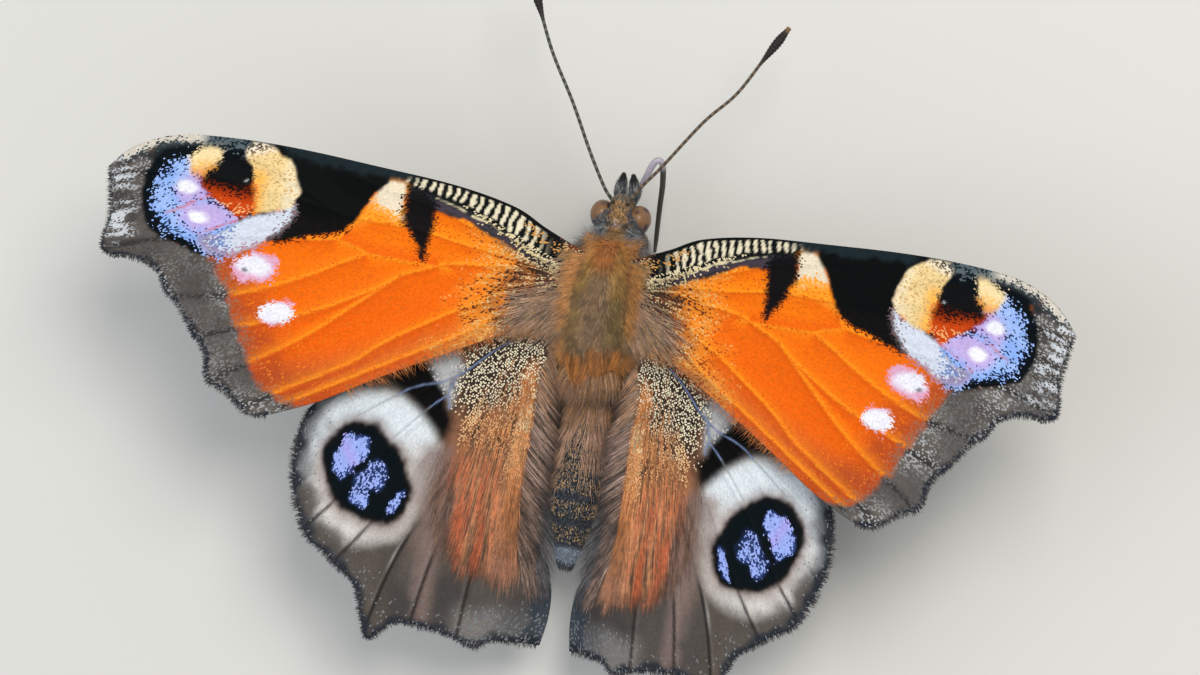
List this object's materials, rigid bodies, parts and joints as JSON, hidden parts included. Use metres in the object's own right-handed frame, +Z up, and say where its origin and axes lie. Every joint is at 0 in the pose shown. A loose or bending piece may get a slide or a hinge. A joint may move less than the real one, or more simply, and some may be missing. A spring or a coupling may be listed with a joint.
{
  "type": "peacock butterfly",
  "caption": "Life-size peacock butterfly standing on its legs with its wings spread, eyespots on fore- and hindwings.",
  "frame": {"origin": "middle of the bounding box at floor level, where the feet stand", "axes": "+X toward the butterfly's right across the span, +Y toward the head, +Z up"},
  "size_m": [0.0616, 0.0429, 0.0154],
  "materials": {
    "brown_fur": "matte fur",
    "blue_black_scales": "matte scales",
    "eye_brown": "satin",
    "orange_scales": "matte scales",
    "rust_scales": "matte scales",
    "leg_buff": "matte",
    "antenna_dark": "matte",
    "tongue_lilac": "satin"
  },
  "bodies": {
    "root": {"thorax": "brown_fur", "head": "brown_fur", "abdomen": "blue_black_scales", "eye_left": "eye_brown", "eye_right": "eye_brown", "palp_left": "brown_fur", "palp_right": "brown_fur", "antenna_left": "antenna_dark", "antenna_right": "antenna_dark", "proboscis": "tongue_lilac", "forewing_left": "orange_scales", "forewing_right": "orange_scales", "hindwing_left": "rust_scales", "hindwing_right": "rust_scales", "foreleg_left": "brown_fur", "foreleg_right": "brown_fur", "midleg_left": "leg_buff", "midleg_right": "leg_buff", "hindleg_left": "leg_buff", "hindleg_right": "leg_buff"}
  },
  "joints": []
}
